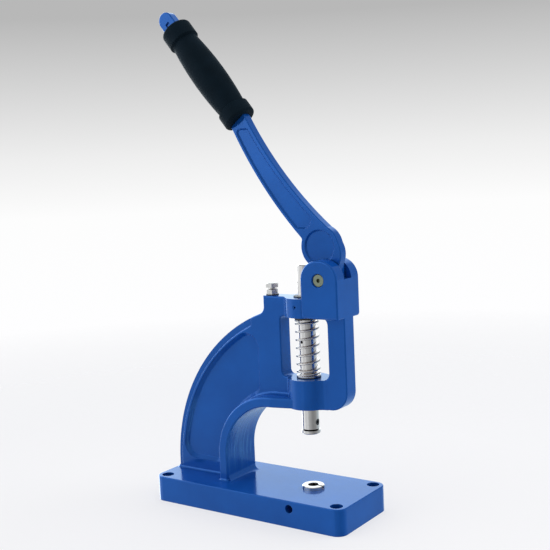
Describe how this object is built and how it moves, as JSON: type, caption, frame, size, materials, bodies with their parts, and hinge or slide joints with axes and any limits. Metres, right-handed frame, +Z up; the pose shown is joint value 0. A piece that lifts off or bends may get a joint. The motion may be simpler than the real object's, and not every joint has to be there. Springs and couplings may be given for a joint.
{
  "type": "hand lever eyelet press",
  "caption": "Bench press with a hand lever: a round cam pushes a spring-returned ram down through a cast C frame onto a die seat.",
  "frame": {"origin": "where the ram's axis meets the underside of the base", "axes": "+Z up along the ram, +X towards the open front of the throat, Y across the base"},
  "size_m": [0.22, 0.086, 0.487],
  "materials": {
    "blue_paint": "glossy paint over a cast iron skin",
    "ground_steel": "ground and polished",
    "spring_steel": "bright",
    "black_steel": "blackened",
    "white_zinc": "zinc plated",
    "olive_zinc": "yellow-green zinc plated",
    "bronze": "plain",
    "grip_plastic": "satin, near black"
  },
  "bodies": {
    "frame": {"frame_casting": "blue_paint", "die_seat_ring": "ground_steel", "lower_guide_bush": "black_steel", "upper_guide_bush": "black_steel", "bush_lock_screw": "blue_paint", "return_spring": "spring_steel", "spring_foot_washer": "spring_steel", "pivot_pin": "olive_zinc", "hub_washers": "spring_steel", "stop_washer": "black_steel"},
    "lever": {"lever": "blue_paint", "lever_bush": "bronze", "grip_sleeve": "grip_plastic"},
    "ram": {"ram": "ground_steel", "ram_retaining_ring": "black_steel", "spring_head_washer": "black_steel"},
    "ram_die_screw": {"ram_die_screw": "black_steel"},
    "die_lock_screw": {"die_lock_screw": "black_steel"},
    "stop_screw": {"stop_screw": "white_zinc"},
    "stop_lock_nut": {"stop_lock_nut": "white_zinc"}
  },
  "joints": [
    {"name": "lever_pivot", "type": "hinge", "parent": "frame", "child": "lever", "pos_m": [0.0262, 0, 0.227], "axis": [0, -1, 0], "range_deg": [0, 57], "stiffness_Nm_per_rad": 0.803, "springref_deg": -43.66},
    {"name": "ram_slide", "type": "slide", "parent": "frame", "child": "ram", "axis": [0, 0, -1], "range_m": [0, 0.0228], "stiffness_N_per_m": 312, "springref_m": -0.0173, "deforming": ["return_spring"]},
    {"name": "ram_screw_travel", "type": "slide", "parent": "ram", "child": "ram_die_screw", "axis": [-1, 0, 0], "range_m": [-0.001, 0.0015]},
    {"name": "die_screw_travel", "type": "slide", "parent": "frame", "child": "die_lock_screw", "axis": [0, 1, 0], "range_m": [-0.003, 0.0012]},
    {"name": "stop_screw_travel", "type": "slide", "parent": "frame", "child": "stop_screw", "axis": [0, 0, -1], "range_m": [-0.004, 0.001]},
    {"name": "stop_nut_turn", "type": "hinge", "parent": "frame", "child": "stop_lock_nut", "pos_m": [-0.038, 0, 0.2128], "axis": [0, 0, 1], "continuous": true}
  ],
  "couplings": [
    {"joint": "ram_slide", "follows": "lever_pivot", "m_per_rad": 0.0227}
  ]
}
